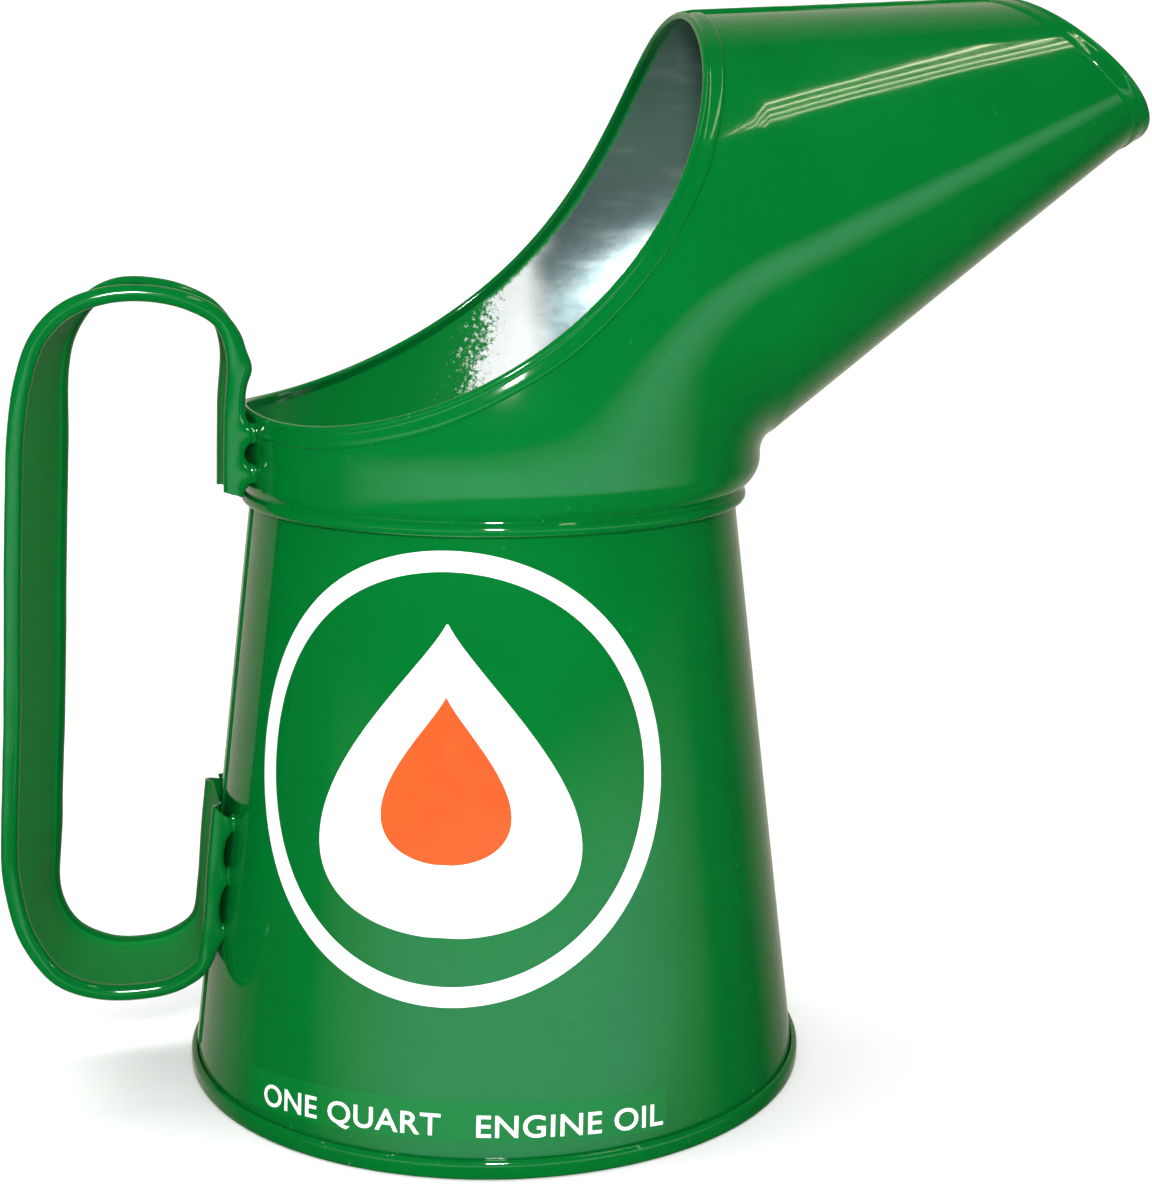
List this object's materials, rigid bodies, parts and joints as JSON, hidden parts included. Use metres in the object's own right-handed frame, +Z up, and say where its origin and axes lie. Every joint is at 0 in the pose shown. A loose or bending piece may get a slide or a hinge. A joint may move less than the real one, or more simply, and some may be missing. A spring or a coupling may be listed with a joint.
{
  "type": "motor oil can",
  "caption": "Green tinplate oil pouring can with a tapered body, a hooded wide-mouth spout and a strap handle with rolled edges.",
  "frame": {"origin": "centre of the bounding box at the foot's underside, on the surface the can stands on", "axes": "+X towards the pouring spout, -X towards the handle, +Z up, the decals on the -Y side"},
  "size_m": [0.2302, 0.127, 0.2159],
  "materials": {
    "green_paint": "glossy stoved enamel over tinplate",
    "bare_tin": "dull bare tinplate inside the hood",
    "painted_tack": "braze blobs under the same enamel",
    "solder": "dull soft solder",
    "seam_compound": "matt sealing compound",
    "white_decal": "glossy vinyl film",
    "orange_decal": "glossy vinyl film",
    "clear_film": "thin carrier film with printed lettering"
  },
  "bodies": {
    "root": {"body_shell": "green_paint", "body_seam_solder": "solder", "base_pan": "green_paint", "base_seam_compound": "seam_compound", "neck_solder_ring": "solder", "hood_shell": "green_paint", "hood_seam_solder": "solder", "handle_strap": "green_paint", "upper_tack_near_1": "painted_tack", "upper_tack_near_2": "painted_tack", "upper_tack_far_1": "painted_tack", "upper_tack_far_2": "painted_tack", "lower_tack_near_1": "painted_tack", "lower_tack_near_2": "painted_tack", "lower_tack_near_3": "painted_tack", "lower_tack_far_1": "painted_tack", "lower_tack_far_2": "painted_tack", "lower_tack_far_3": "painted_tack", "ring_decal": "white_decal", "white_drop_decal": "white_decal", "orange_drop_decal": "orange_decal", "label_decal": "clear_film"}
  },
  "joints": []
}
